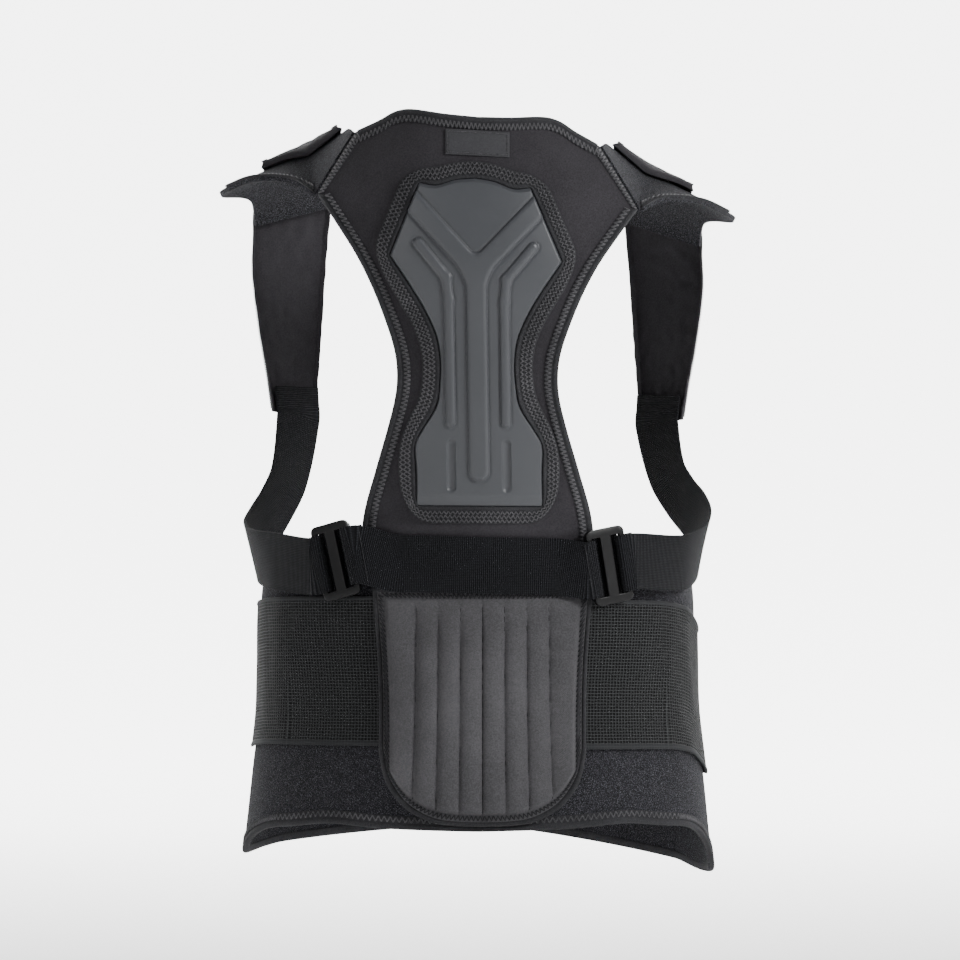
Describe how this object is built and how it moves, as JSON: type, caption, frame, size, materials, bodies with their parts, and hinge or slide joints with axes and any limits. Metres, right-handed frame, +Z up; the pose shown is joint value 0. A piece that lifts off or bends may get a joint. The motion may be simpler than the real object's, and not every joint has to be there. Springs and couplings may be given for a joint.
{
  "type": "posture corrector",
  "caption": "Back brace with a moulded spine plate, padded shoulder straps, elastic side straps and a lumbar belt with a quilted pad.",
  "frame": {"origin": "on the torso's axis at waist height, where the wearer holds the brace", "axes": "+Z up, -Y the wearer's back, +X the wearer's right"},
  "size_m": [0.3552, 0.2434, 0.5191],
  "materials": {
    "neoprene": "knit-faced neoprene foam, matt",
    "loop_pile": "short brushed loop pile for hook tape",
    "binding": "stitched cloth tape with zigzag seams",
    "elastic": "ribbed woven elastic",
    "open_elastic": "open woven elastic",
    "pad_cloth": "quilted satin-faced cloth",
    "moulded": "moulded matt plastic",
    "slider_plastic": "moulded semi-matt plastic"
  },
  "bodies": {
    "root": {"back_panel": "neoprene", "neck_binding": "binding", "plate_frame": "binding", "back_plate": "moulded", "label_patch": "binding", "lumbar_belt": "loop_pile", "belt_binding_top": "binding", "belt_binding_bottom": "binding", "belt_closure": "loop_pile", "lumbar_pad": "pad_cloth", "pad_binding": "binding", "back_band": "elastic", "armhole_binding_left": "binding", "armhole_binding_right": "binding", "wing_seam_tape_left": "binding", "wing_seam_tape_right": "binding", "shoulder_wing_left": "loop_pile", "shoulder_wing_right": "loop_pile", "wing_binding_left": "binding", "wing_binding_right": "binding", "shoulder_strap_left": "neoprene", "shoulder_strap_right": "neoprene", "side_strap_left": "elastic", "side_strap_right": "elastic", "elastic_panel_left": "open_elastic", "elastic_panel_right": "open_elastic", "elastic_tab_left": "loop_pile", "elastic_tab_right": "loop_pile", "slider_left": "slider_plastic", "slider_right": "slider_plastic"}
  },
  "joints": []
}
